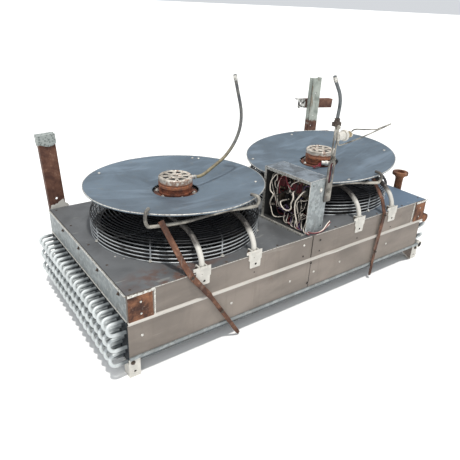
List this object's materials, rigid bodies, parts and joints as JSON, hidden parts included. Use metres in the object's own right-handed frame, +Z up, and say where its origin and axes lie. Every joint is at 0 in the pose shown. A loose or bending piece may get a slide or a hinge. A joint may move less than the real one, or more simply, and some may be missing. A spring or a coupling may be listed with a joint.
{
  "type": "twin-fan air cooler section",
  "caption": "Salvaged twin-fan finned-coil air cooler section: flat sheet casing on feet, round return bends at the end, guarded top fans under slung cover discs.",
  "frame": {"origin": "middle of the base, on the ground under the feet", "axes": "+X along the casing from the return bends to the headers, +Y to the rear with the posts, +Z up"},
  "size_m": [2.1516, 1.0302, 1.1404],
  "materials": {
    "deck_sheet": "zinc-coated fan deck, dull and stained",
    "weathered_steel": "old zinc-coated sheet, streaked brown grey",
    "galvanised": "galvanised sheet and bar",
    "white_zinc": "bright zinc gone white and chalky",
    "rusty_steel": "rusted steel",
    "coil_tube": "pale dull return bends and tube sheet",
    "fins": "grey fin pack",
    "black_wire": "worn black coating on wire and sheet",
    "rotor_black": "matte black fan",
    "cover_sheet": "blue-grey sheet disc, wiped and chalky",
    "motor_body": "brown primer under rust",
    "cast_cap": "cast end cap, dusty",
    "switchgear": "dusty dark switchgear",
    "cable_sheath": "grey cable sheath"
  },
  "bodies": {
    "unit": {"deck_left": "deck_sheet", "deck_right": "deck_sheet", "front_upper_left": "weathered_steel", "front_upper_right": "weathered_steel", "front_lower_left": "weathered_steel", "front_lower_right": "weathered_steel", "rear_upper": "weathered_steel", "rear_lower": "weathered_steel", "end_upper_left": "galvanised", "end_upper_right": "galvanised", "bottom_rail_front": "white_zinc", "bottom_rail_rear": "white_zinc", "foot_front_left": "galvanised", "foot_front_right": "white_zinc", "foot_rear_left": "galvanised", "foot_rear_right": "white_zinc", "corner_patch_left": "rusty_steel", "corner_patch_right": "rusty_steel", "tube_sheet_left": "coil_tube", "tube_sheet_right": "coil_tube", "fin_pack": "fins", "header_inlet": "rusty_steel", "header_outlet": "galvanised", "bell_mouth_1": "galvanised", "guard_1": "black_wire", "motor_1": "motor_body", "motor_cap_1": "cast_cap", "motor_cradle_1": "black_wire", "disc_stay_1": "galvanised", "cover_disc_1": "cover_sheet", "support_arm_1_left": "white_zinc", "arm_clip_1_left": "white_zinc", "support_arm_1_right": "white_zinc", "arm_clip_1_right": "white_zinc", "bell_mouth_2": "galvanised", "guard_2": "black_wire", "motor_2": "motor_body", "motor_cap_2": "cast_cap", "motor_cradle_2": "black_wire", "disc_stay_2": "galvanised", "cover_disc_2": "cover_sheet", "support_arm_2_left": "white_zinc", "arm_clip_2_left": "white_zinc", "support_arm_2_right": "white_zinc", "arm_clip_2_right": "white_zinc", "post_rear_left": "rusty_steel", "post_cap_left": "galvanised", "post_rear_right": "rusty_steel", "cross_arm": "rusty_steel", "rusty_strap_left": "rusty_steel", "rusty_strap_right": "rusty_steel", "control_box": "galvanised", "gear_plate": "galvanised", "contactor_row": "switchgear", "hanger_strap": "galvanised", "sensor_rod": "galvanised", "motor_cable": "cable_sheath", "box_conduit": "cable_sheath"},
    "fan_1": {"fan_rotor_1": "rotor_black"},
    "fan_2": {"fan_rotor_2": "rotor_black"}
  },
  "joints": [
    {"name": "fan_1_spin", "type": "hinge", "parent": "unit", "child": "fan_1", "pos_m": [-0.51396, -0.03065, 0.402], "axis": [0, 0, 1], "continuous": true},
    {"name": "fan_2_spin", "type": "hinge", "parent": "unit", "child": "fan_2", "pos_m": [0.46304, -0.03065, 0.402], "axis": [0, 0, 1], "continuous": true}
  ]
}
